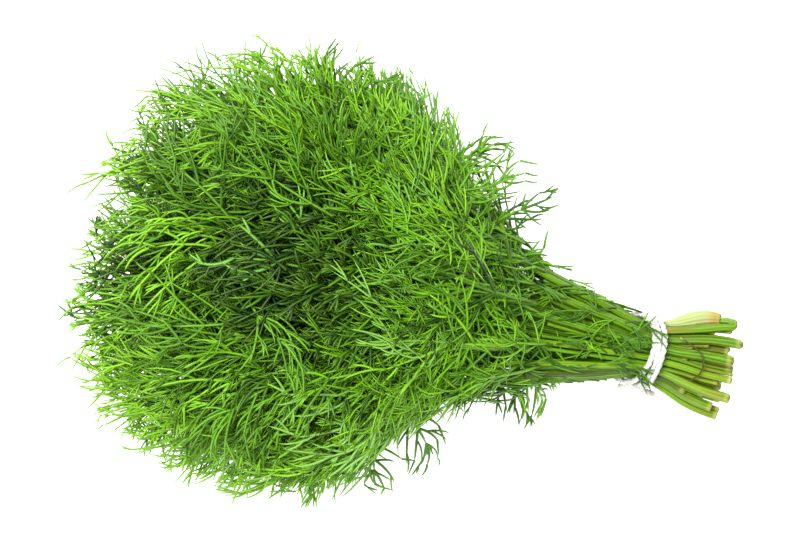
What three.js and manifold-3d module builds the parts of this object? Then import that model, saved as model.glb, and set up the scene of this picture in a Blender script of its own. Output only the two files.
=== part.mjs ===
// A bunch of fresh dill lying on its side. Cut stems are held in a round bundle by a few
// turns of white string. On one side of the string the cut ends flare out a little. On the
// other side the stems fan out, each into its own share of one broad, flattened crown of leaves.
// Millimetres, +Z up. +X runs along the stems towards the cut ends.
import * as THREE from "three";
import { mergeVertices } from "three/addons/utils/BufferGeometryUtils.js";
import Module from "manifold-3d";

const wasm = await Module();
wasm.setup();

// ---- driving dimensions. The string's plane is x = 0 and the surface below is z = 0. ----
const CROWN_CENTRE = new THREE.Vector3(-123, -2, 34);
const CROWN_HALF = new THREE.Vector3(91, 84, 39.5); // half length, half width, half height
const FAN_CENTRE = new THREE.Vector3(-38, 0, 20); // the stems' directions spread from here

// Each ring of stems: how many, its radius inside the string, the angle its stems fan out at,
// half the angle that one stem's leaves take across the ring, and where those leaves begin.
const RINGS = [
  { count: 3, radius: 2.2, fan: 8.5, reach: 6.4, leavesFrom: 0.42, firstAt: 90, innermost: true },
  { count: 9, radius: 6.0, fan: 27.5, reach: 10.2, leavesFrom: 0.38, firstAt: 90 },
  { count: 15, radius: 9.7, fan: 56, reach: 16, leavesFrom: 0.4, firstAt: 270 },
];
const CELL_GAP = 1.3; // degrees left free between one stem's leaves and the next

const STEM_RADIUS = 1.68;
const STEM_GAP = 0.055; // share of the crown between a stem's top and its leaves
const STEM_SIDES = 6;
const STEM_STEPS = 13;
const STRAIGHT = 6; // how far the stems run straight on each side of the string's middle

// Past the string the bundle swells: how much wider and taller it gets on the side of
// the cut ends and on the side of the leaves, and how far from the string most of that is done.
const BUTT_SWELL = { wide: 0.9, tall: 0.28, length: 11 };
const NECK_SWELL = { wide: 0.5, tall: 0.2, length: 7 };
const BUTT_LENGTH = 29.5; // from the string to the cut ends
const BUTT_LENGTH_SPREAD = 3.4;

const STRING_RADIUS = 1.15;
const STRING_CLEARANCE = 0.45; // string to stems
const STRING_TURNS = 3;
const STRING_PITCH = 2.65;
const STRING_LEAN = 0.3; // how far the string's top leans towards the cut ends, for its height
const STRING_STEPS = 22; // to a turn
const STRING_SIDES = 6;
const KNOT_HALF = [4.2, 1.9, 2.4];
const TAIL_RADIUS = 0.92;
const TAIL_STEPS = 5;
const TAIL_BENDS = [[0, 0, 0], [4.4, -2.2, -2.6], [7.4, -3.4, -8]];

// One stem's leaves: how square their section is, where 2 is an oval, and how blunt their ends
// are, where 1 is an oval and towards 0 is square.
const LEAF_SECTION = 3;
const LEAF_BLUNT = 0.4;
const LEAF_AROUND = 10;
const LEAF_ALONG = 8;

const widest = RINGS[RINGS.length - 1].radius;
const coilRadius = widest + STEM_RADIUS + STRING_CLEARANCE + STRING_RADIUS;
const bundleHeight = coilRadius + STRING_RADIUS;
const rad = THREE.MathUtils.degToRad;
const deg = THREE.MathUtils.radToDeg;

// ---- directions in the crown, worked out where the flattened crown is a unit sphere ----
// That makes one stem's share of the crown a cone, whatever the crown's own proportions.
const fanStart = FAN_CENTRE.clone().sub(CROWN_CENTRE).divide(CROWN_HALF);
const fanAxis = fanStart.clone().negate().normalize();
const fanAcross = new THREE.Vector3(0, 1, 0);
fanAcross.addScaledVector(fanAxis, -fanAcross.dot(fanAxis)).normalize();
const fanUp = fanAcross.clone().cross(fanAxis);

// The direction at an angle off the fan's axis and a turn round it, both in degrees. Turn 0 is
// towards +Y and turn 90 is up, as it is round the bundle in the string.
function fanDirection(off, turn) {
  const across = fanAcross.clone().multiplyScalar(Math.sin(rad(off)) * Math.cos(rad(turn)));
  const up = fanUp.clone().multiplyScalar(Math.sin(rad(off)) * Math.sin(rad(turn)));
  return fanAxis.clone().multiplyScalar(Math.cos(rad(off))).add(across).add(up);
}

// How far the crown's surface is along a direction from the fan's centre.
function reachOf(direction) {
  const along = fanStart.dot(direction);
  return -along + Math.sqrt(Math.max(along * along + 1 - fanStart.lengthSq(), 0));
}

function crownPoint(direction, distance) {
  const place = fanStart.clone().addScaledVector(direction, distance);
  return place.multiply(CROWN_HALF).add(CROWN_CENTRE);
}

// ---- shapes ----
// A round tube along a curve, with flat ends.
function tubeGeometry(path, radius, sides, steps) {
  const section = new THREE.Shape();
  for (let i = 0; i < sides; i++) {
    const angle = (2 * Math.PI * i) / sides;
    section.lineTo(radius * Math.cos(angle), radius * Math.sin(angle));
  }
  section.closePath();
  return new THREE.ExtrudeGeometry(section, { steps, extrudePath: path, bevelEnabled: false });
}

// Only positions are kept, so that corners shared by neighbouring faces merge.
function mergedOf(geometry) {
  geometry.deleteAttribute("normal");
  geometry.deleteAttribute("uv");
  return mergeVertices(geometry, 1e-4);
}

function solidOf(geometry) {
  const merged = mergedOf(geometry);
  const mesh = new wasm.Mesh({
    numProp: 3,
    vertProperties: new Float32Array(merged.getAttribute("position").array),
    triVerts: new Uint32Array(merged.index.array),
  });
  return new wasm.Manifold(mesh);
}

function geometryOf(solid) {
  const mesh = solid.getMesh();
  const geometry = new THREE.BufferGeometry();
  geometry.setAttribute("position", new THREE.BufferAttribute(mesh.vertProperties, mesh.numProp));
  geometry.setIndex(new THREE.BufferAttribute(mesh.triVerts, 1));
  return geometry;
}

// A stem's place at a distance from the string, towards the cut ends or, below 0, the leaves.
function bundlePoint(ring, turn, distance) {
  const across = ring.radius * Math.cos(rad(turn));
  const up = ring.radius * Math.sin(rad(turn));
  const swell = distance > 0 ? BUTT_SWELL : NECK_SWELL;
  const done = 1 - Math.exp(-Math.max(Math.abs(distance) - STRAIGHT, 0) / swell.length);
  const y = across * (1 + swell.wide * done);
  const z = bundleHeight + up * (1 + swell.tall * done);
  return new THREE.Vector3(distance + up * STRING_LEAN, y, z);
}

// One stem: swelling out to its cut end, straight through the string, then out to its leaves.
function stemGeometry(ring, turn, count) {
  const length = BUTT_LENGTH + BUTT_LENGTH_SPREAD * Math.sin(count * 2.4);
  const butt = [1, 0.72, 0.46, STRAIGHT / length];
  const places = butt.map((share) => bundlePoint(ring, turn, length * share));
  const neck = bundlePoint(ring, turn, -2.2 * STRAIGHT);
  const top = crownPoint(fanDirection(ring.fan, turn), ring.leavesFrom - STEM_GAP);
  places.push(bundlePoint(ring, turn, -STRAIGHT), neck, neck.clone().lerp(top, 0.5), top);
  const path = new THREE.CatmullRomCurve3(places, false, "centripetal");
  return tubeGeometry(path, STEM_RADIUS, STEM_SIDES, STEM_STEPS);
}

// A slab whose top is the surface, which cuts off what would lie lower.
const surface = new THREE.BoxGeometry(400, 300, 40).translate(-100, 0, -20);

// How wide a leaf solid is, from its middle line to its side, at an angle round that line.
function sectionAt(angle) {
  const across = Math.abs(Math.cos(angle)) ** LEAF_SECTION;
  const along = Math.abs(Math.sin(angle)) ** LEAF_SECTION;
  return (across + along) ** (-1 / LEAF_SECTION);
}

// A direction in one stem's share of its ring: a block of the ring, off the fan's axis by more
// or less and turned round it by more or less.
function blockDirection(ring, turn, width, angle) {
  const off = (ring.reach - CELL_GAP / 2) * Math.cos(angle) * sectionAt(angle);
  const sideways = 180 / ring.count - CELL_GAP / 2 / Math.sin(rad(ring.fan));
  const round = sideways * Math.sin(angle) * sectionAt(angle);
  return fanDirection(ring.fan + off * width, turn + round * width);
}

// The innermost stems are so near the fan's axis that each one's share is a round cone.
function coneDirection(ring, turn, width, angle) {
  const reach = (ring.reach - CELL_GAP / 2) * width;
  const across = ring.fan * Math.cos(rad(turn)) + reach * Math.cos(angle);
  const up = ring.fan * Math.sin(rad(turn)) + reach * Math.sin(angle);
  return fanDirection(Math.hypot(across, up), deg(Math.atan2(up, across)));
}

// The leaves of one stem: a plump wedge of the crown, blunt at its tip and flat where it lies on
// the surface. It is a sphere whose rings are laid along the directions from the fan's centre.
function leavesGeometry(ring, turn) {
  const geometry = mergedOf(new THREE.SphereGeometry(1, LEAF_AROUND, LEAF_ALONG));
  const place = geometry.getAttribute("position");
  const directionOf = ring.innermost ? coneDirection : blockDirection;
  for (let i = 0; i < place.count; i++) {
    const along = (1 - place.getY(i)) / 2;
    const width = Math.hypot(place.getX(i), place.getZ(i)) ** LEAF_BLUNT;
    const angle = Math.atan2(place.getX(i), place.getZ(i));
    const direction = directionOf(ring, turn, width, angle);
    const distance = THREE.MathUtils.lerp(ring.leavesFrom, reachOf(direction), along);
    place.setXYZ(i, ...crownPoint(direction, distance));
  }
  return geometryOf(solidOf(geometry).subtract(solidOf(surface)));
}

// The string: one length wound round the bundle, with its knot and two short tails at the side.
function stringGeometry() {
  const steps = STRING_TURNS * STRING_STEPS;
  const around = [];
  for (let i = 0; i <= steps; i++) {
    const turn = i / STRING_STEPS;
    const angle = 2 * Math.PI * turn + Math.PI;
    const up = coilRadius * Math.sin(angle);
    const x = (turn - STRING_TURNS / 2) * STRING_PITCH + up * STRING_LEAN;
    around.push(new THREE.Vector3(x, coilRadius * Math.cos(angle), bundleHeight + up));
  }
  const winding = new THREE.CatmullRomCurve3(around);
  const coil = tubeGeometry(winding, STRING_RADIUS, STRING_SIDES, steps);

  const knotAt = new THREE.Vector3(0, -coilRadius, bundleHeight);
  const knot = new THREE.SphereGeometry(1, 10, 8).scale(...KNOT_HALF);
  knot.translate(...knotAt);
  let whole = solidOf(coil).add(solidOf(knot));
  for (const side of [-1, 1]) {
    const bends = TAIL_BENDS.map(([along, out, up]) => new THREE.Vector3(side * along, out, up));
    const tail = new THREE.CatmullRomCurve3(bends.map((bend) => bend.add(knotAt)));
    whole = whole.add(solidOf(tubeGeometry(tail, TAIL_RADIUS, STRING_SIDES, TAIL_STEPS)));
  }
  return geometryOf(whole);
}

// ---- the bunch ----
const stemGreen = new THREE.MeshStandardMaterial({ color: 0x5f9a1e, roughness: 0.5, metalness: 0 });
const leafGreen = new THREE.MeshStandardMaterial({ color: 0x4f8f1c, roughness: 0.6, metalness: 0 });
const stringWhite = new THREE.MeshStandardMaterial({ color: 0xe9e7df, roughness: 0.85, metalness: 0 });

const bunch = new THREE.Group();

function addPiece(name, geometry, material) {
  const mesh = new THREE.Mesh(geometry, material);
  mesh.name = name;
  bunch.add(mesh);
}

addPiece("tie_string", stringGeometry(), stringWhite);

let count = 0;
for (const ring of RINGS) {
  for (let i = 0; i < ring.count; i++) {
    count += 1;
    const turn = ring.firstAt + (360 * i) / ring.count;
    const number = String(count).padStart(2, "0");
    addPiece(`stem_${number}`, stemGeometry(ring, turn, count), stemGreen);
    addPiece(`fronds_${number}`, leavesGeometry(ring, turn), leafGreen);
  }
}

// The origin is the middle of the bunch's box, on the surface that it lies on.
const box = new THREE.Box3().setFromObject(bunch);
const middle = box.getCenter(new THREE.Vector3());
bunch.position.set(-middle.x, -middle.y, -box.min.z);

export default bunch;
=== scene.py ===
"""A bunch of fresh dill lying on its side: ribbed cut stems, thread-like leaves and white string.

Each stem and each spray of leaves is a piece of its own, in the place that the frame gives it.
Every leaf is grown from a rib that leaves its stem, bends over the crown and carries pairs of
side ribs, which fork into tapering threads.
"""

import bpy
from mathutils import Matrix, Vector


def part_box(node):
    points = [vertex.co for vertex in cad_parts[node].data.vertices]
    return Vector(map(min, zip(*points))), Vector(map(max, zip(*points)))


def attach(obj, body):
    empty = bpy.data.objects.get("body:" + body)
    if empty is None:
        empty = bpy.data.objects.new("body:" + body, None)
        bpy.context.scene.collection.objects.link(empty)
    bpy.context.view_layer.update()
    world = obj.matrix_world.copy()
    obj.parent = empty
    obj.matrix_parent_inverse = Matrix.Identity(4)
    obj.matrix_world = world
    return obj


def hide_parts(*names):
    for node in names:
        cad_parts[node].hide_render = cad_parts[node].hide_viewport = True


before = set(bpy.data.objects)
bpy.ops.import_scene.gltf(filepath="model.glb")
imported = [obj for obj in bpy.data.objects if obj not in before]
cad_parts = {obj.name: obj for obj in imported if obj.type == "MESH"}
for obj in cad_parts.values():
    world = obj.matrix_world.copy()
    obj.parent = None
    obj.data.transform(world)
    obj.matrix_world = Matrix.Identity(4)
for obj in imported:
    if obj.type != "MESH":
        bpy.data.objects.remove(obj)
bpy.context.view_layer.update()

import math
import random

import bpy
import numpy as np
from mathutils import Vector

MM = 0.001
SEED = 480
UP = Vector((0, 0, 1))

STEMS = sorted(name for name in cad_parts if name.startswith("stem_"))
FRONDS = sorted(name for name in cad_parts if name.startswith("fronds_"))

# ---- places, from the frame ----
string_low, string_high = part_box("tie_string")
BUNDLE_R = (string_high.z - string_low.z) / 2
TIE = Vector(((string_low.x + string_high.x) / 2, string_high.y - BUNDLE_R,
              string_high.z - BUNDLE_R))

frond_boxes = [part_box(name) for name in FRONDS]
crown_low = Vector(tuple(min(low[axis] for low, high in frond_boxes) for axis in range(3)))
crown_high = Vector(tuple(max(high[axis] for low, high in frond_boxes) for axis in range(3)))
half_width = (crown_high.y - crown_low.y) / 2
CROWN_HALF = Vector((half_width * 1.11, half_width, crown_high.z * 0.54))
CROWN = Vector((crown_low.x + CROWN_HALF.x, (crown_low.y + crown_high.y) / 2,
                crown_high.z - CROWN_HALF.z))

# The outline of the leaves: a flattened ball, blunt at the far end, and a cone to the string.
HEART = Vector((crown_low.x + 80 * MM, TIE.y - 1.5 * MM, 36.5 * MM))
REACH = Vector((82.5 * MM, 83.5 * MM, 36 * MM))
REACH_TO_TIE = 82 * MM
BLUNT = 2.5  # 2 is an oval, and more is squarer
THIN_RIM = 1.7  # 2 is an oval, and less is thinner towards the rim
SEAM = TIE.x - 92 * MM
NECK_SLOPE = (0.62, 0.77)  # on the -Y and the +Y side
SHOULDER = Vector((TIE.x - 56 * MM, TIE.y + 34 * MM, 44 * MM))

STEM_HOLD = TIE.x - 45 * MM  # further in than this, stems keep inside a share of the outline
STEM_DEPTH = 0.72

# ---- leaf sizes ----
LEAVES_OPEN = 80  # the outermost, which lie flat over the rest
LEAVES_ON_TOP = 200
LEAVES_INSIDE = 125
LEAF_LENGTH = (44 * MM, 72 * MM)  # here and below, pairs are the least and the most
LEAF_STEP = 12.5 * MM  # from one pair of side ribs to the next
MAIN_RIB_R = (0.56 * MM, 0.40 * MM)  # at its start and at its tip
RIB_LENGTH = (32 * MM, 54 * MM)
RIB_STEP = 8.2 * MM  # from one thread to the next
LONG_THREAD = 9 * MM  # shorter ones have no forks
THREAD_R = (0.38 * MM, 0.62 * MM)
THREAD_TAPER = 0.42  # the tip's thickness, as a share of the start's
THICKER_INSIDE, THINNER_AT_RIM = 1.34, 0.78
UNEVEN_RIM = 0.07  # how far threads end past the outline or short of it
SHORTENINGS, SHORTENED = 4, 0.76  # how often a thread is made shorter to end inside, and how much
CEILING = crown_high.z * 0.96
OVER_TABLE = 0.1 * MM

# ---- where leaves grow, as shares of the way out to the outline ----
ON_SURFACE = 0.86  # the least share, in the frame's crown, that counts as its surface
OPEN_DEPTH = (0.97, 0.80)  # over the middle and at the rim
TOP_DEPTH = (0.88, 0.76)
INSIDE_DEPTH = (0.45, 0.82)
ROOT_DEPTH = 0.7
BEND_DEPTH = 0.86
ROOT_ON_AXIS = (0.1, 0.55)
FAR_ROOT = 1.3  # the furthest that a leaf starts from its tip, in leaf lengths
STRAIGHT_ENOUGH = 0.5  # the cosine of the sharpest bend in a main rib
FAN = Vector((TIE.x - 45 * MM, TIE.y, CROWN.z))  # where the leaves spread from

# ---- greens ----
TONES = 16
# Above GREENS the tones are a waxy grey-green that also carries a painted sheen.
GREENS = 0.72  # tones below this run from deep green to yellow-green, and above it are grey-green
LIGHTEST_GREEN = GREENS - 0.02
GREY_SHEEN_SHARE = 0.22  # of the open leaves
# Leaf tones carry painted light and shade: the low middle tone and the inside tone are painted
# shade, and the open tone and the rim tone are painted light on the top layer and at the rim, where
# the rim is also yellower, younger leaves.
MIDDLE_TONE, TONE_SPREAD = -0.04, 0.11
RIM_BACKLIGHT_TONE, SHOULDER_TONE, OPEN_LIGHT_TONE, INSIDE_SHADE_TONE = 0.72, 0.46, 0.10, -0.26
SHOULDER_SIZE = 34 * MM
THREAD_TONE_SPREAD = 0.09

# ---- neck and cut ends ----
OUTER_RING = 15  # stems in the bundle's outer ring, which are the last ones
NECK_LEAVES = 4
NECK_THREADS = 20
NECK_THREAD_R = 0.36 * MM
THREADS_OVER_STRING = 16
STRING_THREAD_R = 0.4 * MM
STEM_CORNERS = 6  # round a stem's frame solid
STEM_R = (0.74, 1.08)  # in mm
STEM_TAPER = (1.68, 0.7)  # at the cut end and where the leaves begin, as shares of STEM_R
TAPER_LENGTH = 130 * MM
BUTT_LENGTH = 20 * MM  # where the cut end swells
STALKS_BESIDE = 3
STALK_END = 50  # of the 64 steps of a stem's line
# The low tones darken stalks that lie between the stems, as painted shade.
STALK_TONES = (-0.45, -0.3, 0.0, 0.3, 0.7)
LONGEST_BUTT = 32.5 * MM

# Leaves that hang loose out of the outline: millimetres from the string's middle, start and end.
LOOSE_LEAVES = (
    ((-58, -18, 16), (-43, -25, 12)), ((-50, -15, 20), (-35, -23, 14)),
    ((-84, -40, 26), (-70, -52, 20)), ((-108, 48, 46), (-103, 66, 42)),
    ((-92, 38, 44), (-77, 55, 40)), ((-80, 30, 46), (-66, 48, 40)),
    ((-84, 34, 44), (-76, 57, 42)), ((-70, 24, 38), (-56, 40, 34)),
    ((-70, 14, 34), (-50, 22, 28)), ((-98, -48, 28), (-87, -65, 22)),
    ((-128, 52, 44), (-135, 72, 40)), ((-166, 22, 40), (-190, 34, 36)),
    ((-148, -50, 34), (-163, -64, 28)), ((-176, -18, 34), (-193, -26, 30)),
    ((-178, 2, 38), (-197, -4, 36)),
)
LOOSE_SHARE = 0.40  # of a full leaf's side ribs
# Long leaves that lie open on top of the crown: start and end in the same way, seen from above.
TOP_LEAVES = (
    ((-92, 14), (-146, 30)), ((-72, -14), (-112, -34)), ((-122, -8), (-88, 8)),
    ((-104, 22), (-118, 42)), ((-136, -18), (-168, -28)), ((-150, 8), (-178, 26)),
    ((-112, -30), (-140, -52)), ((-150, -2), (-128, -24)),
)
TOP_SHARE = 0.66
TOP_START_SUNK = 14 * MM
LAID_THREAD_R = 0.46 * MM


def unit(vector):
    return vector.normalized() if vector.length > 1e-9 else Vector((1, 0, 0))


def mix(a, b, share):
    return a + (b - a) * share


# ---- materials ----
class Socket:
    """A node's output, so that shader maths reads as arithmetic."""

    def __init__(self, nodes, output):
        self.nodes = nodes
        self.output = output

    def maths(self, operation, *values):
        return self.nodes.add("ShaderNodeMath", {"operation": operation}, dict(enumerate(values)))

    def __add__(self, other):
        return self.maths("ADD", self, other)

    def __mul__(self, other):
        return self.maths("MULTIPLY", self, other)

    def __rsub__(self, other):
        return self.maths("SUBTRACT", other, self)

    __radd__ = __add__

    def between(self, start, end):
        """0 below start, 1 above end, and a smooth step between them."""
        settings = {"clamp": True, "interpolation_type": "SMOOTHSTEP"}
        values = {"Value": self, "From Min": start, "From Max": end}
        return self.nodes.add("ShaderNodeMapRange", settings, values)


class Nodes:
    """One material's nodes."""

    def __init__(self, name):
        self.material = bpy.data.materials.new(name)
        self.material.use_nodes = True
        self.tree = self.material.node_tree
        self.shader = self.tree.nodes["Principled BSDF"]

    def add(self, kind, settings=None, values=None, output=0):
        node = self.tree.nodes.new(kind)
        for key, value in (settings or {}).items():
            if key == "stops":
                self.set_stops(node.color_ramp, value)
            else:
                setattr(node, key, value)
        for key, value in (values or {}).items():
            self.feed(node.inputs[key], value)
        return Socket(self, node.outputs[output])

    def feed(self, socket, value):
        if isinstance(value, Socket):
            self.tree.links.new(value.output, socket)
        else:
            socket.default_value = value

    def set_stops(self, ramp, stops):
        while len(ramp.elements) < len(stops):
            ramp.elements.new(0.5)
        for element, (place, colour) in zip(ramp.elements, stops):
            element.position = place
            element.color = (*colour, 1)

    def attribute(self, name, output="Fac"):
        node = self.tree.nodes.new("ShaderNodeAttribute")
        node.attribute_name = name
        return Socket(self, node.outputs[output])

    def blend(self, share, first, second):
        first = first if isinstance(first, Socket) else (*first, 1)
        second = second if isinstance(second, Socket) else (*second, 1)
        colours = {0: share, 6: first, 7: second}  # its inputs' names repeat, so they go by number
        return self.add("ShaderNodeMix", {"data_type": "RGBA"}, colours, output=2)

    def ramp(self, share, stops):
        return self.add("ShaderNodeValToRGB", {"stops": stops}, {"Fac": share})

    def noise(self, vector, scale, detail):
        values = {"Vector": vector, "Scale": scale, "Detail": detail}
        return self.add("ShaderNodeTexNoise", {}, values)

    def bump(self, height, strength, distance):
        values = {"Height": height, "Strength": strength, "Distance": distance}
        return self.add("ShaderNodeBump", {}, values)

    def finish(self, **values):
        for key, value in values.items():
            title = key.replace("_", " ").title().replace("Ior", "IOR")
            self.feed(self.shader.inputs[title], value)
        return self.material


def leaf_material():
    """Deep to yellow-green by a thread's tone, which holds painted shade and light, then a waxy
    grey-green with a painted sheen, with yellower tips.
    """
    nodes = Nodes("leaf_threads")
    tone = nodes.attribute("tone")
    along = nodes.attribute("along")
    # Up to 0.72 the ramp runs deep to yellow-green; from 0.75 it is grey-green with a painted
    # sheen, palest at 1.0.
    body = nodes.ramp(tone, (
        (0.0, (0.009, 0.036, 0.001)),
        (0.2, (0.030, 0.106, 0.002)),
        (0.4, (0.070, 0.208, 0.003)),
        (0.6, (0.140, 0.370, 0.006)),
        (0.72, (0.250, 0.520, 0.015)),
        (0.75, (0.055, 0.185, 0.018)),
        (0.87, (0.125, 0.315, 0.042)),
        (1.0, (0.240, 0.470, 0.090)),
    ))
    tips = nodes.blend(along.between(0.4, 1.0) * 0.22, body, (0.24, 0.48, 0.01))
    ribs = nodes.blend((1 - along.between(0.0, 0.35)) * 0.45, tips, (0.16, 0.36, 0.03))
    return nodes.finish(base_color=ribs, roughness=0.42, specular_ior_level=0.28)


def stem_material():
    """Ribbed green with pale ridges, ochre streaks near the cut, a pale pith in the cut, and dark
    brown for low tones: painted shade on inner stems and stalks, and the dry tendril's own colour.
    """
    nodes = Nodes("stem_skin")
    grain = nodes.attribute("grain", "Vector")
    from_cut = nodes.attribute("from_cut")
    tone = nodes.attribute("tone")
    ridge = nodes.attribute("ridge")
    fine = nodes.noise(grain, 2.6, 3.0)
    broad = nodes.noise(grain, 0.8, 2.0)
    green = nodes.blend(ridge.between(-0.9, 0.9), (0.022, 0.085, 0.001), (0.090, 0.240, 0.001))
    green = nodes.blend(fine.between(0.45, 0.75) * 0.5, green, (0.22, 0.42, 0.006))
    green = nodes.blend(broad.between(0.48, 0.72) * 0.7, green, (0.034, 0.060, 0.002))
    green = nodes.blend(tone.between(0.0, 1.0) * 0.35, green, (0.28, 0.48, 0.006))
    near_cut = 1 - from_cut.between(0.0, 0.42)
    pale = nodes.blend(fine.between(0.3, 0.7), (0.12, 0.24, 0.004), (0.34, 0.40, 0.035))
    pale = nodes.blend(broad.between(0.50, 0.60) * 0.85, pale, (0.20, 0.12, 0.015))
    skin = nodes.blend(near_cut * broad.between(0.42, 0.66), green, pale)
    skin = nodes.blend(tone.between(1.0, 2.0) * 0.85, skin, (0.56, 0.58, 0.29))
    dry = tone.between(1.0, 1.2) * (1 - from_cut.between(0.01, 0.11))
    skin = nodes.blend(dry * 0.85, skin, (0.42, 0.22, 0.03))
    # Low tones turn dark brown: painted shade on the inner stems and the stalks between them, and
    # the dry tendril's own colour.
    skin = nodes.blend(tone.between(-0.05, -1.0), skin, (0.060, 0.055, 0.003))
    skin = nodes.blend((1 - from_cut.between(0.0, 0.04)) * 0.65, skin, (0.50, 0.54, 0.12))
    skin = nodes.blend(1 - from_cut.between(-0.08, 0.0), skin, (0.72, 0.74, 0.42))
    rough = 0.36 + fine * 0.2
    bump = nodes.bump(fine + ridge * 0.25, 0.45, 0.3 * MM)
    return nodes.finish(base_color=skin, roughness=rough, normal=bump, specular_ior_level=0.28)


def string_material():
    """Off-white twisted cotton."""
    nodes = Nodes("cotton_string")
    grain = nodes.attribute("grain", "Vector")
    fibre = nodes.noise(grain, 3.0, 3.0)
    colour = nodes.blend(fibre.between(0.3, 0.7), (0.46, 0.45, 0.41), (0.76, 0.75, 0.72))
    bump = nodes.bump(fibre, 0.5, 0.2 * MM)
    return nodes.finish(base_color=colour, roughness=0.85, normal=bump)


def table_material():
    nodes = Nodes("table")
    return nodes.finish(base_color=(0.9, 0.9, 0.9, 1), roughness=0.8, emission_color=(1, 1, 1, 1),
                        emission_strength=0.8)


# ---- threads ----
def deselect():
    bpy.ops.object.select_all(action="DESELECT")


def choose(piece, kind, accept):
    """Select the edges or faces whose corners accept says yes to, in edit mode."""
    bpy.ops.object.mode_set(mode="EDIT")
    bpy.ops.mesh.select_mode(type="EDGE" if kind == "edges" else "FACE")
    bpy.ops.mesh.select_all(action="DESELECT")
    bpy.ops.object.mode_set(mode="OBJECT")
    mesh = piece.data
    for item in getattr(mesh, kind):
        item.select = accept([mesh.vertices[index].co for index in item.vertices])
    bpy.ops.object.mode_set(mode="EDIT")


def thread_shape(cuts):
    """A pointed thread of unit length and thickness along Z, which every thread is a copy of."""
    deselect()
    bpy.ops.mesh.primitive_cylinder_add(vertices=4, radius=1, depth=1, location=(0, 0, 0.5))
    shape = bpy.context.object
    choose(shape, "edges", lambda places: abs(places[0].z - places[1].z) > 0.5)
    bpy.ops.mesh.subdivide(number_cuts=cuts)
    bpy.ops.object.mode_set(mode="OBJECT")
    choose(shape, "polygons", lambda places: all(place.z > 0.49 for place in places))
    bpy.ops.mesh.merge(type="CENTER")
    bpy.ops.object.mode_set(mode="OBJECT")
    places = np.array([vertex.co for vertex in shape.data.vertices])
    places[:, 2] += 0.5
    faces = [tuple(polygon.vertices) for polygon in shape.data.polygons]
    bpy.data.objects.remove(shape, do_unlink=True)
    return places, faces


RIB = thread_shape(5)
THREAD = thread_shape(3)


def threads_mesh(name, rows, shape, material):
    """One mesh of many threads. A row is start, bend, end, both thicknesses, tone and shades."""
    unit_places, unit_faces = shape
    rows = np.array(rows)
    starts, bends, ends = rows[:, 0:3], rows[:, 3:6], rows[:, 6:9]
    thick, thin, tone, shade_from, shade_to = rows[:, 9:14].T
    count, each = len(rows), len(unit_places)
    round_x, round_y, height = unit_places.T
    t = height[None, :, None]
    places = (starts[:, None] * (1 - t) ** 2 + bends[:, None] * 2 * t * (1 - t)
              + ends[:, None] * t ** 2)
    tangent = (bends - starts)[:, None] * (1 - t) + (ends - bends)[:, None] * t
    tangent /= np.linalg.norm(tangent, axis=2, keepdims=True) + 1e-12
    middle = ends - starts
    steep = np.abs(middle[:, 2:3]) > 0.7 * np.linalg.norm(middle, axis=1, keepdims=True)
    helper = np.where(steep, [[1.0, 0, 0]], [[0, 0, 1.0]])
    side = np.cross(middle, helper)[:, None] * np.ones_like(tangent)
    side -= tangent * (side * tangent).sum(2, keepdims=True)
    side /= np.linalg.norm(side, axis=2, keepdims=True) + 1e-12
    other = np.cross(tangent, side)
    radius = thick[:, None] + (thin - thick)[:, None] * t[..., 0] ** 2.4
    places = places + side * (round_x * radius)[..., None] + other * (round_y * radius)[..., None]

    mesh = bpy.data.meshes.new(name)
    sizes = [len(face) for face in unit_faces]
    corners = np.concatenate([np.array(face) for face in unit_faces])
    loops = (corners[None] + (np.arange(count) * each)[:, None]).ravel()
    totals = np.tile(sizes, count)
    first_loops = np.concatenate([[0], np.cumsum(totals)[:-1]])
    mesh.vertices.add(count * each)
    mesh.vertices.foreach_set("co", places.astype(np.float32).ravel())
    mesh.loops.add(len(loops))
    mesh.loops.foreach_set("vertex_index", loops.astype(np.int32))
    mesh.polygons.add(len(totals))
    mesh.polygons.foreach_set("loop_start", first_loops.astype(np.int32))
    mesh.polygons.foreach_set("use_smooth", np.ones(len(totals), bool))
    mesh.update(calc_edges=True)
    mesh.validate()

    shade = (shade_from[:, None] + (shade_to - shade_from)[:, None] * height[None]).ravel()
    column = np.clip(np.floor(tone * TONES), 0, TONES - 1)
    tones = np.repeat(column / (TONES - 1), each)
    for label, values in (("tone", tones), ("along", shade)):
        layer = mesh.attributes.new(label, "FLOAT", "POINT")
        layer.data.foreach_set("value", values.astype(np.float32))
    # The map has a column for each tone, and runs along a thread from bottom to top.
    around = (round_x + round_y) / (np.abs(round_x + round_y).max() * 2) + 0.5
    across = ((column[:, None] + 0.1 + 0.8 * around[None]) / TONES).ravel()
    layer = mesh.uv_layers.new(name="OFBake")
    on_map = np.stack([across[loops], shade[loops]], 1).astype(np.float32)
    layer.data.foreach_set("uv", on_map.ravel())
    piece = bpy.data.objects.new(name, mesh)
    bpy.context.collection.objects.link(piece)
    mesh.materials.append(material)
    return piece


def joined(pieces, name):
    deselect()
    for piece in pieces:
        piece.select_set(True)
    bpy.context.view_layer.objects.active = pieces[0]
    if len(pieces) > 1:
        bpy.ops.object.join()
    bpy.context.object.name = name
    return bpy.context.object


def turned(way, side, degrees):
    """A direction turned towards a side by some degrees."""
    angle = math.radians(degrees)
    return unit(way * math.cos(angle) + unit(side) * math.sin(angle))


class Curve:
    """A leaf rib or thread: it leaves its start one way and turns steadily to another."""

    def __init__(self, start, bend, end):
        self.start, self.bend, self.end = start, bend, end
        self.length = ((bend - start).length + (end - bend).length + (end - start).length) / 2

    def at(self, t):
        return self.start * (1 - t) ** 2 + self.bend * (2 * t * (1 - t)) + self.end * t ** 2

    def way(self, t):
        return unit((self.bend - self.start) * (1 - t) + (self.end - self.bend) * t)


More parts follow.
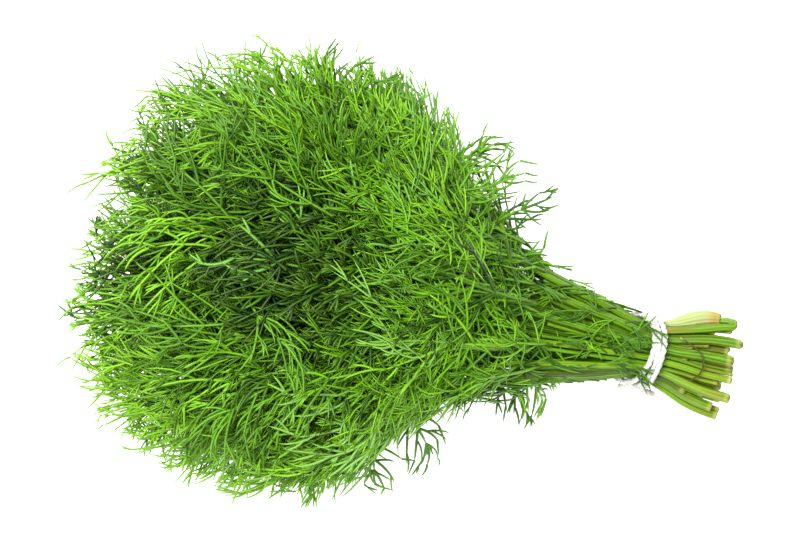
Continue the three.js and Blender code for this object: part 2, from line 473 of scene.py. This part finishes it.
class Spray:
    """Collects the threads of one piece and keeps them above the table and inside the crown."""

    def __init__(self, seed, axis):
        self.axis = axis  # where its rib starts, and the middle of its outer end
        self.rows = {"ribs": [], "threads": []}
        self.free = False  # whether its leaves may leave the outline
        self.thickness = 1.0  # how far its threads leave the plane of their leaf
        self.chance = random.Random(seed)

    def vary(self, amount):
        return self.chance.uniform(-amount, amount)

    def any_way(self):
        chance = self.chance
        return unit(Vector((chance.gauss(0, 1), chance.gauss(0, 1), chance.gauss(0, 1))))

    def kept(self, point, thick):
        """A point moved back between the table and the crown's top."""
        floor = thick * 1.05 + OVER_TABLE
        if point.z < floor:
            point = Vector((point.x, point.y, floor + min((floor - point.z) * 0.08, 1.5 * MM)))
        if point.z > CEILING:
            point = Vector((point.x, point.y, CEILING + (point.z - CEILING) * 0.5))
        return point

    def strand(self, curve, thick, thin, tone, shade_from, shade_to, kind="threads"):
        if tone < GREENS:
            tone = min(LIGHTEST_GREEN, max(0, tone + self.vary(THREAD_TONE_SPREAD)))
        places = (curve.start, curve.bend, curve.end)
        start, bend, end = (self.kept(point, thick) for point in places)
        self.rows[kind].append((*start, *bend, *end, thick, thin, tone, shade_from, shade_to))

    def grown(self, start, way, later, length):
        """A curve that turns from one way to another, shorter where it would leave the outline."""
        later = unit(later + self.any_way() * 0.1 * self.thickness)
        limit = 1 + self.vary(UNEVEN_RIM)
        for _ in range(SHORTENINGS):
            bend = start + way * (length * 0.5)
            curve = Curve(start, bend, bend + later * (length * 0.5))
            if self.free or beyond(curve.end) < limit:
                return curve
            length *= SHORTENED
        return None

    def thread(self, start, way, later, across, length, thick, tone, forks):
        """A leaf thread, with narrow forks that end up running the same way as it does."""
        curve = self.grown(start, way, later, length)
        if not curve:
            return
        self.strand(curve, thick, thick * THREAD_TAPER, tone, 0.3, 1.0)
        for fork in range(forks):
            t = self.chance.uniform(0.12, 0.35) + 0.2 * fork
            along = curve.way(t)
            side = across.cross(along) * self.chance.choice((-1, 1))
            side = side + across * self.vary(0.4) * self.thickness
            go = turned(along, side, self.chance.uniform(18, 36))
            reach = curve.length * (1 - t) * self.chance.uniform(0.65, 1.05)
            later_way = curve.way(1) + side * self.chance.uniform(0.1, 0.4)
            more = forks - 1 if self.chance.random() < 0.4 else 0
            self.thread(curve.at(t), go, later_way, across, reach, thick * 0.95, tone, more)

    def side_rib(self, start, way, later, across, length, thick, tone, sway):
        """A long arc with threads that leave it left and right in turn, and all bend one way."""
        curve = self.grown(start, way, later, length)
        if not curve:
            return
        length = curve.length
        self.strand(curve, thick * 1.12, thick * 0.5, tone, 0.12, 0.9, "ribs")
        count = max(2, round(length / RIB_STEP))
        hand = self.chance.choice((-1, 1))
        for step in range(count):
            t = min(0.93, max(0.10, mix(0.16, 0.88, (step + self.vary(0.35)) / (count - 1))))
            along = curve.way(t)
            side = across.cross(along) * hand + across * self.vary(0.5) * self.thickness
            go = turned(along, side, mix(46, 22, t) + self.vary(9))
            reach = max(min(LONG_THREAD, length * 0.8), length * mix(0.62, 0.36, t))
            reach *= self.chance.uniform(0.7, 1.3)
            bow = go * 0.35 + along * 0.75 + sway * self.chance.uniform(0.3, 1.3)
            width = thick * self.chance.uniform(0.78, 1.02)
            forks = self.chance.choice((0, 1, 1, 2)) if reach > LONG_THREAD else 0
            self.thread(curve.at(t), go, bow, across, reach, width, tone, forks)
            hand = -hand

    def leaf(self, curve, normal, tone, thick, share=1.0):
        """A whole leaf: its rib, and pairs of side ribs that get shorter towards the tip."""
        if not self.free and max(beyond(curve.at(0.6)), beyond(curve.end)) > 1:
            return
        self.strand(curve, *MAIN_RIB_R, tone, 0.0, 0.12, "ribs")
        pairs = max(3, round(curve.length * 0.65 / LEAF_STEP))
        swirl = self.chance.gauss(0, 0.8)
        lift = self.chance.gauss(-0.15, 0.35) * self.thickness
        for step in range(2 * pairs + 1):
            t = mix(0.32, 0.95, step // 2 / (pairs - 1)) if step < 2 * pairs else 1.0
            along = curve.way(t)
            across = unit(normal - along * normal.dot(along))
            side = across.cross(along)
            hand = (step % 2 * 2 - 1) * (t < 1)
            lean = across * self.vary(0.35) * self.thickness
            go = turned(along, side * hand + lean, mix(56, 30, t) + self.vary(9)) if hand else along
            sway = side * (swirl + self.chance.gauss(0, 0.45) - hand * 0.2) + across * lift
            size = mix(1.0, 0.66, t) * self.chance.uniform(*RIB_LENGTH) * share
            later = go * 0.4 + along * 0.6 + sway * 0.8
            self.side_rib(curve.at(t), go, later, across, size, thick, tone, sway)


def near_tie(along, across, up):
    """A place by its millimetres from the middle of the string: to the cut ends, across and up."""
    return TIE + Vector((along, across, up)) * MM


def unique_points(node):
    """The corners of a node's frame solid."""
    points = np.array([vertex.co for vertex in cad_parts[node].data.vertices])
    return np.unique(points.round(6), axis=0)


def on_crown(point):
    """How far out a place is in the crown: 0 in its middle, 1 at its surface."""
    across = point - CROWN
    half = CROWN_HALF
    return Vector((across.x / half.x, across.y / half.y, across.z / half.z)).length


def in_plan(point):
    """How far out a place is seen from above, where 1 is the rim of the ball of leaves."""
    across = point - HEART
    far = across.x < 0
    power = BLUNT if far else 2
    along = abs(across.x / (REACH.x if far else REACH_TO_TIE))
    return (along ** power + abs(across.y / REACH.y) ** power) ** (1 / power)


def in_ball(point):
    """How far out a place is in the flattened ball of leaves, where 1 is its outline."""
    up = abs(point.z - HEART.z) / REACH.z
    return (in_plan(point) ** THIN_RIM + up ** THIN_RIM) ** (1 / THIN_RIM)


def on_top(point):
    """The same place on the upper side of the ball of leaves."""
    rise = (1 - min(1, in_plan(point)) ** THIN_RIM) ** (1 / THIN_RIM)
    return Vector((point.x, point.y, HEART.z + REACH.z * rise))


def in_cone(point):
    """How far out a place is in the cone that narrows to the string, where 1 is its outline."""
    far = max(5 * MM, TIE.x + 6 * MM - point.x)
    across, up = point.y - TIE.y, point.z - TIE.z
    return math.hypot(across / far / NECK_SLOPE[across > 0], up / far / NECK_SLOPE[1])


def beyond(point):
    """How far out a place is in the outline of the leaves, where 1 is the outline."""
    return in_ball(point) if point.x < SEAM else in_cone(point)


def placed(point, depth):
    """A place moved to a share of the way out to the outline."""
    point = HEART + (point - HEART) * (depth / max(in_ball(point), 0.3))
    if point.x > SEAM and in_cone(point) > depth:
        back = depth / in_cone(point)
        point = Vector((point.x, mix(TIE.y, point.y, back), mix(TIE.z, point.z, back)))
    return point


def held(point, depth):
    """The same place, or one nearer the middle if it lies further out than a depth."""
    share = min(1, depth / beyond(point))
    if point.x < SEAM:
        return HEART + (point - HEART) * share
    return Vector((point.x, mix(TIE.y, point.y, share), mix(TIE.z, point.z, share)))


def crown_normal(point):
    """The way that the crown's surface faces nearest a place."""
    across = point - CROWN
    half = CROWN_HALF
    return unit(Vector((across.x / half.x ** 2, across.y / half.y ** 2, across.z / half.z ** 2)))


def random_on(mesh, chance, accept):
    """A random place on a mesh's faces, by area, where accept says yes."""
    areas = random_on.areas.get(mesh.name)
    if areas is None:
        areas = random_on.areas[mesh.name] = np.cumsum([polygon.area for polygon in mesh.polygons])
    while True:
        index = int(np.searchsorted(areas, chance.uniform(0, areas[-1])))
        corners = [mesh.vertices[i].co for i in mesh.polygons[min(index, len(areas) - 1)].vertices]
        a, b = sorted((chance.random(), chance.random()))
        place = corners[0] * a + corners[1] * (b - a) + corners[2] * (1 - b)
        if accept(place):
            return place


random_on.areas = {}


def cap_area(mesh):
    """The area of a spray's outer end, where it is part of the crown's surface."""
    return sum(polygon.area for polygon in mesh.polygons if on_crown(polygon.center) > 0.9)


def spray_axis(name):
    """Where a spray's rib starts, and the middle of its outer end."""
    points = unique_points(name)
    start = Vector(points[np.argsort(-points[:, 0])[:8]].mean(0))
    reach = np.linalg.norm(points - np.array(start), axis=1)
    tip = Vector(points[reach > reach.max() * 0.8].mean(0))
    return start, tip


def centre_line(name):
    """The middle of a stem's frame solid, from its cut end to its top."""
    points = unique_points(name)
    points = points[np.argsort(-points[:, 0])]
    return [Vector(points[first:first + STEM_CORNERS].mean(0))
            for first in range(0, len(points) - STEM_CORNERS + 1, STEM_CORNERS)]


def smooth_line(places, count):
    """A Catmull-Rom curve through places, as evenly many points to a span."""
    places = [places[0] * 2 - places[1], *places, places[-1] * 2 - places[-2]]
    line = []
    spans = len(places) - 3
    for step in range(count + 1):
        at = min(step / count * spans, spans - 1e-6)
        i, t = int(at), at - int(at)
        a, b, c, d = places[i:i + 4]
        line.append(0.5 * (2 * b + (c - a) * t + (2 * a - 5 * b + 4 * c - d) * t ** 2
                           + (3 * b - a - 3 * c + d) * t ** 3))
    return line


def pick_tone(spray, goal, edge, inside, flat_one):
    """Yellow-green at the shoulder, and at the rim as younger leaves with painted backlight;
    lighter open leaves as painted light, deep green inside as painted shade, and grey-green with a
    painted sheen here and there.
    """
    chance = spray.chance
    near = max(0, 1 - (goal - SHOULDER).length / SHOULDER_SIZE)
    # Grey-green tones: waxy colour with a painted sheen.
    if flat_one and near < 0.3 and chance.random() < GREY_SHEEN_SHARE:
        return mix(GREENS + 0.04, 0.95, chance.random() * mix(0.4, 1, edge))
    # Painted shade in the middle and inside, painted light at the rim and on the open leaves on
    # top.
    tone = chance.gauss(MIDDLE_TONE, TONE_SPREAD) + RIM_BACKLIGHT_TONE * edge ** 2 + SHOULDER_TONE * near
    return min(LIGHTEST_GREEN, max(0, tone + OPEN_LIGHT_TONE * flat_one + INSIDE_SHADE_TONE * inside))


def neck_leaves(spray, line):
    """Small leaves and loose threads that lie on the stems between the string and the crown."""
    chance = spray.chance
    for number in range(NECK_LEAVES + NECK_THREADS):
        whole = number < NECK_LEAVES
        back = chance.uniform(*((22, 74) if whole else (-5, 56))) * MM
        start = min(line, key=lambda place: abs(TIE.x - back - place.x))
        out = unit(Vector((0, start.y - TIE.y, start.z - TIE.z)))
        start = start + out * (1.4 if back > 8 * MM else 4.3) * MM
        tone = min(LIGHTEST_GREEN, max(0.02, chance.gauss(0.36, 0.12)))
        if whole:
            way = unit(Vector((-1, 0, 0)) + out * 0.35 + spray.any_way() * 0.55)
            length = chance.uniform(16, 30) * MM
            middle = start + way * length * 0.5 + out * 1.5 * MM
            curve = Curve(start, middle, start + way * length)
            spray.leaf(curve, out, tone, THREAD_R[0] * 0.9, 0.45)
        else:
            side = Vector((1, 0, 0)).cross(out)
            along = Vector((chance.choice((-1, -1, 1)), 0, 0))
            way = unit(along + side * spray.vary(0.9) + out * 0.15)
            later = way + side * spray.vary(2.2) - out * 0.3
            length = chance.uniform(6, 19) * MM
            forks = chance.choice((0, 1, 2))
            spray.thread(start, way, later, out, length, NECK_THREAD_R, tone, forks)


def laid_leaves(spray):
    """The leaves that are laid one by one: loose ones at the outline, and open ones on top."""
    chance = spray.chance
    for places, share in ((LOOSE_LEAVES, LOOSE_SHARE), (TOP_LEAVES, TOP_SHARE)):
        on_crown_top = places is TOP_LEAVES
        for first, last in places:
            on_table = [near_tie(*place[:2], 0) for place in (first, last)]
            if on_crown_top:
                first, last = (on_top(place) for place in on_table)
                first -= UP * TOP_START_SUNK
            else:
                first, last = (Vector((*at.xy, place[2] * MM))
                               for at, place in zip(on_table, (first, last)))
            middle = mix(first, last, 0.5) + spray.any_way() * 6 * MM + UP * 2 * MM
            face = unit(UP + spray.any_way() * 0.3)
            tone = chance.uniform(0.22, 0.5)
            spray.leaf(Curve(first, middle, last), face, tone, LAID_THREAD_R, share)


def threads_over_string(spray):
    """Loose threads that start on the stems and lie over the string."""
    chance = spray.chance
    for _ in range(THREADS_OVER_STRING):
        angle = math.radians(chance.uniform(55, 140))
        out = Vector((0, math.cos(angle), math.sin(angle)))
        side = Vector((1, 0, 0)).cross(out)
        start = TIE + out * (BUNDLE_R + 1.6 * MM) - Vector((chance.uniform(2, 15) * MM, 0, 0))
        way = unit(Vector((1, 0, 0)) + side * spray.vary(0.9) - out * 0.05)
        later = way + side * spray.vary(1.5) - out * 0.1
        tone = chance.uniform(0.15, 0.45)
        length = chance.uniform(7, 15) * MM
        forks = chance.choice((1, 2))
        spray.thread(start, way, later, out, length, STRING_THREAD_R, tone, forks)


def goal_of_leaf(mesh, chance, surface, flat_one, taken):
    """The roomiest of ten random places for a leaf's tip. taken has the places in use."""
    best, goal, chosen = -1, None, None
    for _ in range(10):
        accepted = ON_SURFACE if surface else 0.5
        place = random_on(mesh, chance, lambda p: on_crown(p) > accepted)
        across = Vector(((place.x - HEART.x) / REACH.x, (place.y - HEART.y) / REACH.y))
        edge = min(1, across.length)
        depth = mix(*(OPEN_DEPTH if flat_one else TOP_DEPTH), edge ** 2)
        depth *= chance.uniform(0.95, 1.04) if surface else chance.uniform(*INSIDE_DEPTH)
        place = placed(place, depth)
        spot = Vector((place.x, place.y, place.z * 0.45))
        room = min(((spot - other).length for other in taken), default=1)
        if room > best:
            best, goal, chosen = room, place, spot
    taken.append(chosen)
    return goal


def grow_leaf(spray, name, surface, flat_one, taken):
    """One leaf, from the spray's rib to a place of its own in the crown."""
    chance = spray.chance
    start, tip = spray.axis
    goal = goal_of_leaf(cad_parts[name].data, chance, surface, flat_one, taken)
    flat = Vector((goal.x - HEART.x, goal.y - HEART.y, 0))
    edge = min(1, Vector((flat.x / REACH.x, flat.y / REACH.y)).length / 0.78)
    normal = crown_normal(goal)
    away = unit(unit(Vector((goal.x - FAN.x, goal.y - FAN.y, 0))) + unit(flat) * edge * 1.6)
    turn = unit(away + spray.any_way() * mix(1.9 if flat_one else 1.7, 0.5, edge ** 1.5))
    turn = unit(turn - normal * turn.dot(normal) * (0.95 if flat_one else mix(0.85, 0.3, edge)))
    length = chance.uniform(*LEAF_LENGTH) * (1 if surface else 0.8)
    root = start + (tip - start) * chance.uniform(*ROOT_ON_AXIS)
    if (goal - root).length > length * FAR_ROOT:
        root = goal + unit(root - goal) * length * FAR_ROOT
    root = held(root, ROOT_DEPTH)
    bend = goal - turn * length * 0.42 + normal * chance.uniform(0.0, 0.10) * length
    between = mix(root, goal, 0.5)
    bend = held(mix(bend, between, 0.3), BEND_DEPTH)
    for _ in range(4):
        if unit(bend - root).dot(unit(goal - bend)) < STRAIGHT_ENOUGH:
            bend = mix(bend, between, 0.5)
    face = mix(normal, UP * (1 if normal.z > -0.3 else -1), edge * 0.7)
    face = unit(face + spray.any_way() * (0.12 if flat_one else 0.5))
    tone = pick_tone(spray, goal, edge, not surface, flat_one)
    thick = chance.uniform(*THREAD_R) * mix(THICKER_INSIDE, THINNER_AT_RIM, edge)
    spray.thickness = 0.35 if flat_one else 1.0
    spray.leaf(Curve(root, bend, goal), face, tone, thick, 1.1 if flat_one else 1.0)


def grow_spray(name, material, leaves, taken):
    """The leaves of one stem: how many inside, on top and open, and where others' tips are."""
    spray = Spray(SEED + int(name[-2:]), spray_axis(name))
    inner, outer, opened = leaves
    for number in range(inner + outer + opened):
        flat_one = number >= inner + outer
        grow_leaf(spray, name, number >= inner, flat_one, taken[flat_one])
    spray.thickness = 1.0
    if name == FRONDS[-1]:
        spray.free, spray.thickness = True, 0.4
        laid_leaves(spray)
        threads_over_string(spray)
        spray.free, spray.thickness = False, 1.0
    if name in FRONDS[-OUTER_RING:]:
        neck_leaves(spray, smooth_line(centre_line(name.replace("fronds", "stem")), 60))
    pieces = [threads_mesh(f"{name}_{kind}", spray.rows[kind], shape, material)
              for kind, shape in (("ribs", RIB), ("threads", THREAD))]
    piece = joined(pieces, name + "_leaves")
    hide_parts(name)
    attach(piece, "root")


# ---- the leaves ----
leaf = leaf_material()
caps = {name: cap_area(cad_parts[name].data) for name in FRONDS}
whole = sum(caps.values())
taken = ([], [])
for name in FRONDS:
    share = caps[name] / whole
    counts = (round(LEAVES_INSIDE / len(FRONDS)), round(LEAVES_ON_TOP * share),
              round(LEAVES_OPEN * share))
    grow_spray(name, leaf, counts, taken)


# ---- stems ----
def distances(line):
    """How far along a line each of its places is."""
    reached = [0.0]
    for first, second in zip(line, line[1:]):
        reached.append(reached[-1] + (second - first).length)
    return reached


def tube(name, line, radius_of, sides, material, hollow_cut=False, slant=0.0):
    """A cylinder bent along a line, and its corners' places round and along it.

    radius_of takes a distance from the line's start and an angle. hollow_cut insets the face at
    the start, and slant tips it.
    """
    steps = len(line) - 1
    reached = distances(line)
    deselect()
    bpy.ops.mesh.primitive_cylinder_add(vertices=sides, radius=1, depth=1, location=(0, 0, 0))
    piece = bpy.context.object
    piece.name = name
    choose(piece, "edges", lambda places: abs(places[0].z - places[1].z) > 0.5)
    bpy.ops.mesh.subdivide(number_cuts=steps - 1)
    if hollow_cut:
        bpy.ops.object.mode_set(mode="OBJECT")
        choose(piece, "polygons", lambda places: all(place.z < -0.499 for place in places))
        bpy.ops.mesh.inset(thickness=0.26, depth=-0.25 / steps)
    bpy.ops.object.mode_set(mode="OBJECT")
    frames = []
    side = UP
    for i, at in enumerate(line):
        tangent = unit(line[min(i + 1, steps)] - line[max(i - 1, 0)])
        side = unit(side - tangent * side.dot(tangent))
        frames.append((at, side, tangent.cross(side)))
    marks = []
    for vertex in piece.data.vertices:
        share = min(max(vertex.co.z + 0.5, 0), 1) * steps
        index = min(int(share + 1e-4), steps - 1)
        rest = share - index
        own = math.hypot(vertex.co.x, vertex.co.y)
        angle = math.atan2(vertex.co.y, vertex.co.x)
        distance = mix(reached[index], reached[index + 1], rest)
        at, first, second = (mix(a, b, rest) for a, b in zip(frames[index], frames[index + 1]))
        radius = radius_of(distance, angle) * own
        if index == 0 and rest < 0.01:
            at = at + unit(line[0] - line[1]) * slant * radius * math.cos(angle + distance)
        vertex.co = at + first * (math.cos(angle) * radius) + second * (math.sin(angle) * radius)
        marks.append((math.cos(angle), math.sin(angle), distance, own))
    piece.data.polygons.foreach_set("use_smooth", [True] * len(piece.data.polygons))
    piece.data.materials.append(material)
    return piece, marks


def mark(piece, name, kind, values):
    layer = piece.data.attributes.new(name, kind, "POINT")
    layer.data.foreach_set("vector" if kind == "FLOAT_VECTOR" else "value",
                           np.array(values, np.float32).ravel())


def stalk(name, line, size, ribs, tone, chance, material, squash=1.0):
    """A ribbed stalk. size takes a distance from its cut end and gives its radius."""
    phase = chance.uniform(0, 6)
    seed = chance.uniform(0, 50)
    depth = 0.06 if ribs else 0

    def radius_of(distance, angle):
        wave = math.cos(angle * ribs + phase)
        flat = 1 / math.hypot(math.cos(angle) / squash, math.sin(angle))
        return size(distance) * flat * (1 + depth * wave)

    sides = ribs * 4 if ribs else 14
    piece, marks = tube(name, line, radius_of, sides, material, True, chance.uniform(-0.7, 0.7))
    grain = [(x * 1.6 + seed, y * 1.6, d / MM * 0.045) for x, y, d, _ in marks]
    from_cut = [d / (60 * MM) if own > 0.9 else -0.1 for _, _, d, own in marks]
    ridge = [math.cos(math.atan2(y, x) * ribs + phase) for x, y, _, _ in marks]
    mark(piece, "grain", "FLOAT_VECTOR", grain)
    mark(piece, "from_cut", "FLOAT", from_cut)
    mark(piece, "tone", "FLOAT", [tone] * len(marks))
    mark(piece, "ridge", "FLOAT", ridge)
    return piece


def extras(name, chance, material):
    """What lies on the cut ends: a pale leaf sheath, a bent-over stalk and a thin dry tendril."""
    if name == STEMS[16]:
        line = [place + Vector((0, 1.3, 1.2)) * MM for place in smooth_line(centre_line(name), 60)
                if 2 * MM < place.x - TIE.x < 25.5 * MM]
        span = distances(line)[-1]

        def size(distance):
            share = min(1, distance / span * 0.80 + 0.20)
            return 2.9 * MM * max(0.12, math.sin(math.pi * share)) ** 0.7

        return [stalk("sheath", line, size, 9, 1.6, chance, material, squash=0.62)]
    if name == STEMS[17]:
        places = ((-1, 7.4, 5.8), (8, 9.6, 8.2), (18, 12.4, 9), (25, 14.6, 8.4), (28.4, 15.4, 7.6),
                  (28.8, 16.6, 6.8), (26.6, 17.2, 6.2), (24, 16.8, 5.6))
        line = smooth_line([near_tie(*place) for place in places], 44)
        return [stalk("bent_stalk", line, lambda d: 1.3 * MM, 6, 0.6, chance, material)]
    if name == STEMS[19]:
        places = ((10, 7.5, 12), (14, 6, 13.6), (18.5, 3.4, 14.6), (20, -0.5, 14.6),
                  (19.2, -4.4, 13.4), (17, -6.6, 12))
        line = smooth_line([near_tie(*place) for place in places], 36)
        return [stalk("tendril", line, lambda d: 0.3 * MM, 0, -1.0, chance, material)]
    return []


def eased(line, times):
    """The same line with its bends made gentler, and its ends kept."""
    for _ in range(times):
        inner = [(a + b * 2 + c) / 4 for a, b, c in zip(line, line[1:], line[2:])]
        line = [line[0], *inner, line[-1]]
    return line


def stem_piece(name, material):
    """One stem from its cut end up into its leaves, with the thin stalks that lie beside it."""
    chance = random.Random(SEED * 3 + int(name[-2:]))
    places = centre_line(name)
    middle = Vector(unique_points(name.replace("stem", "fronds")).mean(0))
    top = places[-1] + unit(places[-1] - places[-3]) * 9 * MM
    places += [top, mix(top, middle, 0.4), mix(top, middle, 0.8)]
    line = [place for place in eased(smooth_line(places, 64), 10) if place.x < TIE.x + LONGEST_BUTT]
    line = [held(place, STEM_DEPTH) if place.x < STEM_HOLD else place for place in line]
    thick = chance.uniform(*STEM_R) * MM
    swell = chance.uniform(0.0, 0.42)

    def size(distance):
        """Thickest at the cut end, and thin where the leaves begin."""
        butt = math.exp(-(distance / BUTT_LENGTH) ** 2)
        return thick * (mix(*STEM_TAPER, min(1, distance / TAPER_LENGTH) ** 1.3) + swell * butt)

    inner = name not in STEMS[-OUTER_RING:]
    # Inner stems get darker tones as painted shade, and outer ones lighter.
    tone = chance.uniform(-0.5, 0.2) if inner else chance.uniform(0, 0.8)
    pieces = [stalk(name, line, size, chance.choice((6, 7, 8)), tone, chance, material)]
    for number in range(STALKS_BESIDE):
        angle = chance.uniform(0, 2 * math.pi)
        side = Vector((0, math.cos(angle), math.sin(angle)))
        out = unit(Vector((0, line[20].y - TIE.y, line[20].z - TIE.z)))
        side = unit(side - out * max(0, side.dot(out)) * 1.2)
        apart = chance.uniform(1.8, 2.6) * MM
        first = chance.randrange(0, 12)
        beside = [place + side * apart for place in line[first:STALK_END]]
        width = chance.uniform(0.6, 1.25) * MM
        stalk_tone = chance.choice(STALK_TONES)
        pieces.append(stalk(f"{name}_stalk_{number}", beside, lambda d, w=width: w, 0,
                            stalk_tone, chance, material))
    pieces += extras(name, chance, material)
    piece = joined(pieces, name + "_skin")
    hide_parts(name)
    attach(piece, "root")


skin = stem_material()
for name in STEMS:
    stem_piece(name, skin)


# ---- string ----
CORD_R = 1.15 * MM
PLY_R = CORD_R * 0.56
PLY_APART = CORD_R * 0.5  # from the cord's middle to a ply's middle
COIL_R = BUNDLE_R - CORD_R
LEAN = 0.42  # how far the string's top leans towards the cut ends, for its height
TURNS = 3
PITCH = 2.65 * MM
CROSSING = 2.82  # the turn at which the string crosses itself
TWIST_LENGTH = 8.4 * MM


def winding():
    """Three uneven turns, the last of which crosses the one before it near the knot."""
    line = []
    steps = 72
    for i in range(steps * TURNS + 1):
        turn = i / steps
        angle = 2 * math.pi * turn + math.pi
        cross = math.exp(-((turn - CROSSING) / 0.16) ** 2)
        coil = COIL_R + cross * 1.7 * MM
        up = coil * math.sin(angle)
        along = (turn - TURNS / 2) * PITCH + up * LEAN
        along += 0.7 * MM * math.sin(angle + turn * 1.9) - cross * 3.4 * MM - 1.9 * MM
        line.append(TIE + Vector((along, coil * math.cos(angle), up)))
    return line


def twisted(name, line, material):
    """Three plies laid round one line."""
    plies = []
    reached = distances(line)
    for ply in range(3):
        path = []
        for i, at in enumerate(line):
            tangent = unit(line[min(i + 1, len(line) - 1)] - line[max(i - 1, 0)])
            helper = unit(at - TIE - Vector((at.x - TIE.x, 0, 0)))
            first = unit(helper - tangent * helper.dot(tangent))
            second = tangent.cross(first)
            twist = 2 * math.pi * (reached[i] / TWIST_LENGTH + ply / 3)
            path.append(at + (first * math.cos(twist) + second * math.sin(twist)) * PLY_APART)
        piece, marks = tube(f"{name}_{ply}", path, lambda d, a: PLY_R, 8, material)
        mark(piece, "grain", "FLOAT_VECTOR", [(x, y, d / MM * 0.5) for x, y, d, _ in marks])
        plies.append(piece)
    return plies


def string_piece(material):
    """The winding, its knot on the -Y side and two short ends."""
    pieces = twisted("winding", winding(), material)
    knot_at = TIE - Vector((0, COIL_R, 0))
    loop = []
    for i in range(91):
        t = 2 * math.pi * i / 90
        across = Vector((math.sin(t) + 2 * math.sin(2 * t), -math.sin(3 * t) * 0.8,
                         math.cos(t) - 2 * math.cos(2 * t)))
        loop.append(knot_at + Vector((across.x * 1.05, across.y * 0.9, across.z * 0.62)) * MM)
    pieces += twisted("knot", loop, material)
    for side, drop in ((-1, 7), (1, 8)):
        out = 5.2 if side < 0 else 7.6
        bends = ((0, 0, 0), (0.5 * out * side, -1.8, -1.4), (0.85 * out * side, -2.4, -4),
                 (out * side, -2.6, -drop))
        ends = smooth_line([knot_at + Vector(bend) * MM for bend in bends], 27)
        pieces += twisted("end_a" if side < 0 else "end_b", ends, material)
    piece = joined(pieces, "tie_string_twist")
    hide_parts("tie_string")
    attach(piece, "root")


string_piece(string_material())

# ---- table, light and camera ----
deselect()
bpy.ops.mesh.primitive_plane_add(size=6, location=(0, 0, 0))
table = bpy.context.object
table.name = "table"
table.data.materials.append(table_material())

world = bpy.data.worlds.new("studio")
bpy.context.scene.world = world
world.use_nodes = True
world.node_tree.nodes["Background"].inputs["Color"].default_value = (1, 1, 1, 1)
world.node_tree.nodes["Background"].inputs["Strength"].default_value = 0.5


def area_light(name, place, aim, size, power):
    """A square light that faces a place."""
    data = bpy.data.lights.new(name, "AREA")
    data.size = size
    data.energy = power
    light = bpy.data.objects.new(name, data)
    bpy.context.collection.objects.link(light)
    light.location = place
    light.rotation_euler = (Vector(aim) - Vector(place)).to_track_quat("-Z", "Y").to_euler()


area_light("key", (-0.42, 0.26, 1.1), (-0.02, 0, 0.03), 0.55, 26)
area_light("fill", (0.6, -0.6, 0.9), (0, 0, 0.03), 1.0, 5)

TURN = math.radians(13)
SPAN = 288 * MM  # how much of the table the view's width covers
aim = TIE + Vector((-94.6 * MM, 9.8 * MM, 0))
aim.z = 0.03
data = bpy.data.cameras.new("camera")
data.lens = 85
camera = bpy.data.objects.new("camera", data)
bpy.context.collection.objects.link(camera)
camera.location = aim + Vector((0, 0, SPAN * data.lens / data.sensor_width))
camera.rotation_euler = (0, 0, TURN)
bpy.context.scene.camera = camera
bpy.context.scene.view_settings.view_transform = "Standard"
